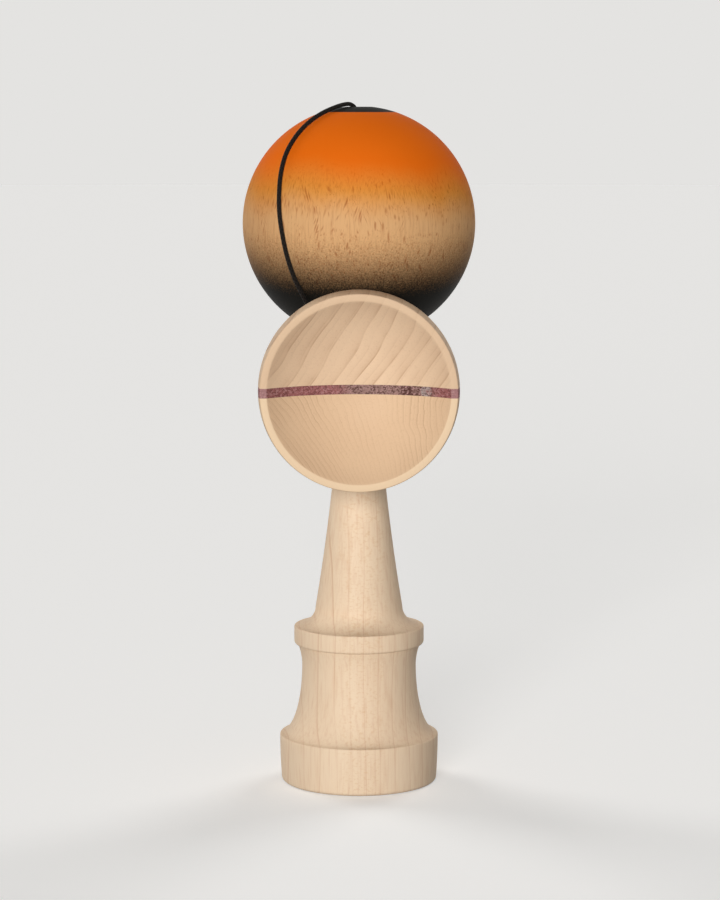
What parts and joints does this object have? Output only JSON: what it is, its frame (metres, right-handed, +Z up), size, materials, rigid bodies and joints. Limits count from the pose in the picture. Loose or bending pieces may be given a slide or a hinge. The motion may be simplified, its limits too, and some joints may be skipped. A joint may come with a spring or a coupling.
{
  "type": "kendama",
  "caption": "Wooden kendama: turned handle with base cup, ring and spike, laminated crosspiece with a big and a small cup, and a drilled painted ball on a wound string, seated on the spike.",
  "frame": {"origin": "centre of the flat ring under the base, on the surface that the kendama stands on", "axes": "+Z up the handle to the ball, -Y out of the big cup, +Y out of the small cup, X across"},
  "size_m": [0.06, 0.074, 0.1774],
  "materials": {
    "maple_handle": "pale maple, fine sanded, clear satin",
    "maple_cups": "maple, fine sanded, clear satin",
    "purple_hardwood": "red-brown hardwood layer, sanded flush",
    "painted_beech": "beech with airbrushed orange and black fades under a satin lacquer",
    "bead_wood": "turned bead",
    "black_string": "thin braided cord"
  },
  "bodies": {
    "ken": {"ken": "maple_handle", "ken_knot": "black_string"},
    "sarado": {"sarado_upper_half": "maple_cups", "sarado_stripe": "purple_hardwood", "sarado_lower_half": "maple_cups", "string_winding": "black_string", "string_tail": "black_string"},
    "string": {"tama_bead": "bead_wood", "tama_knot": "black_string", "string_run": "black_string"},
    "tama": {"tama": "painted_beech"}
  },
  "joints": [
    {"name": "sarado_pull", "type": "slide", "parent": "ken", "child": "sarado", "axis": [0, 0, 1], "range_m": [0, 0.07], "deforming": ["string_tail"]},
    {"name": "tama_lift", "type": "slide", "parent": "sarado", "child": "string", "axis": [0, 0, 1], "range_m": [0, 0.045], "deforming": ["string_run"]},
    {"name": "tama_spin", "type": "hinge", "parent": "string", "child": "tama", "pos_m": [0, 0, 0.1464], "axis": [0, 0, 1], "continuous": true}
  ]
}
